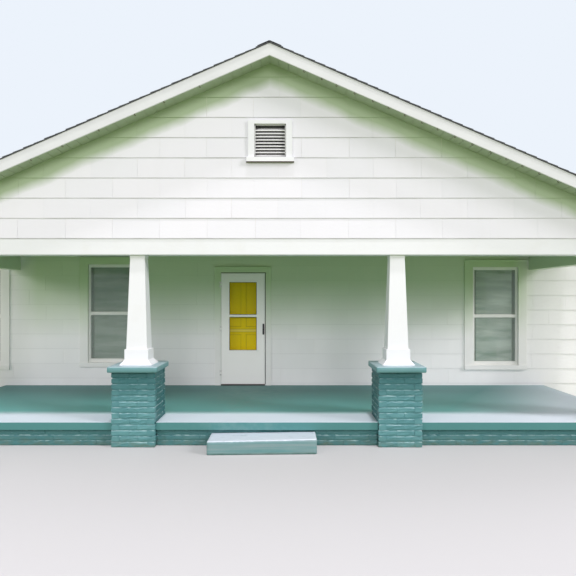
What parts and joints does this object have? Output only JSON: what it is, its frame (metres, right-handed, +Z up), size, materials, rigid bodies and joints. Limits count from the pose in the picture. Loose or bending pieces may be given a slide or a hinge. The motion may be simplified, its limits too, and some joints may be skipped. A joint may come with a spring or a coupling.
{
  "type": "front-gabled bungalow with a columned porch",
  "caption": "Hollow one-storey bungalow: gabled roof, gabled porch on tapered columns and brick piers, sash windows, a storm door and a hinged front door.",
  "frame": {"origin": "on the ground, on the ridge's centreline, in the middle of the foundation wall under the front wall", "axes": "+X to the right as seen from the street, +Y back into the house, +Z up"},
  "size_m": [12.93, 13.875, 5.735],
  "materials": {
    "teal_masonry": "painted rough brick",
    "teal_concrete": "painted concrete",
    "floor_concrete": "painted concrete, satin",
    "white_trim": "painted, semi-gloss",
    "white_siding": "painted, matte",
    "floor_boards": "varnished",
    "roof_boards": "painted underneath",
    "dark_shingles": "mineral-surfaced felt",
    "white_sash": "satin",
    "window_glass": "clear",
    "shade_cloth": "matte",
    "bare_metal": "dull",
    "white_metal": "satin",
    "black_metal": "satin",
    "yellow_door": "painted, gloss"
  },
  "bodies": {
    "house": {"foundation_ends": "teal_masonry", "foundation_sides": "teal_masonry", "porch_foundation": "teal_masonry", "porch_slab": "floor_concrete", "entry_step": "floor_concrete", "brick_piers": "teal_masonry", "pier_caps": "teal_concrete", "column_bases": "white_trim", "porch_columns": "white_trim", "porch_front_beam": "white_trim", "porch_side_beams": "white_trim", "porch_ceiling": "white_trim", "porch_gable_wall": "white_siding", "vent_casings": "white_trim", "vent_louvres": "white_trim", "front_wall_left": "white_siding", "front_wall_right": "white_siding", "front_wall_head": "white_siding", "side_walls": "white_siding", "rear_wall": "white_siding", "gable_walls": "white_siding", "house_floor": "floor_boards", "house_ceiling": "white_trim", "roof_deck_left": "roof_boards", "roof_deck_right": "roof_boards", "shingles_left": "dark_shingles", "shingles_right": "dark_shingles", "ridge_caps": "dark_shingles", "rake_boards_left": "white_trim", "rake_boards_right": "white_trim", "eave_fascias": "white_trim", "window_casings": "white_trim", "window_sashes": "white_sash", "window_glass": "window_glass", "window_shades": "shade_cloth", "door_jambs": "white_trim", "door_head": "white_trim", "door_sill": "bare_metal", "door_hinges": "bare_metal"},
    "storm_door": {"storm_door": "white_metal", "storm_door_glass": "window_glass", "storm_door_pull": "black_metal"},
    "front_door": {"front_door": "yellow_door", "front_door_knobs": "bare_metal"}
  },
  "joints": [
    {"name": "storm_door_hinge", "type": "hinge", "parent": "house", "child": "storm_door", "pos_m": [-0.9735, -0.185, 0], "axis": [0, 0, -1], "range_deg": [0, 100]},
    {"name": "front_door_hinge", "type": "hinge", "parent": "house", "child": "front_door", "pos_m": [-0.9735, 0.015, 0], "axis": [0, 0, 1], "range_deg": [0, 95]}
  ]
}
